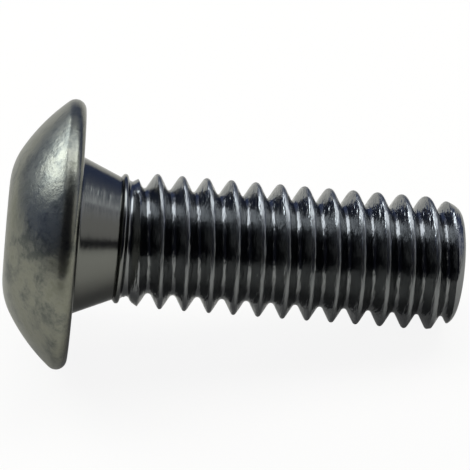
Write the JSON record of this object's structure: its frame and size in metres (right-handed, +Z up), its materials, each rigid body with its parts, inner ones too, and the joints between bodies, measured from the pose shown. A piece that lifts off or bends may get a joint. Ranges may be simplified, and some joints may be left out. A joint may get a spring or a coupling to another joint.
{
  "type": "button head screw",
  "caption": "Low button head screw of bright steel with a coned neck, a full right-hand thread and a hexagon socket, lying on its side.",
  "frame": {"origin": "centre of the overall box, on the surface that the screw lies on", "axes": "+X towards the screw's tip, +Z up; the screw's own axis lies in the XZ plane and falls 10.53 degrees towards the tip"},
  "size_m": [0.0266, 0.0154, 0.0151],
  "materials": {
    "bright_steel": "bright zinc plate on rolled steel, lightly stained"
  },
  "bodies": {
    "root": {"button_head_screw": "bright_steel"}
  },
  "joints": []
}
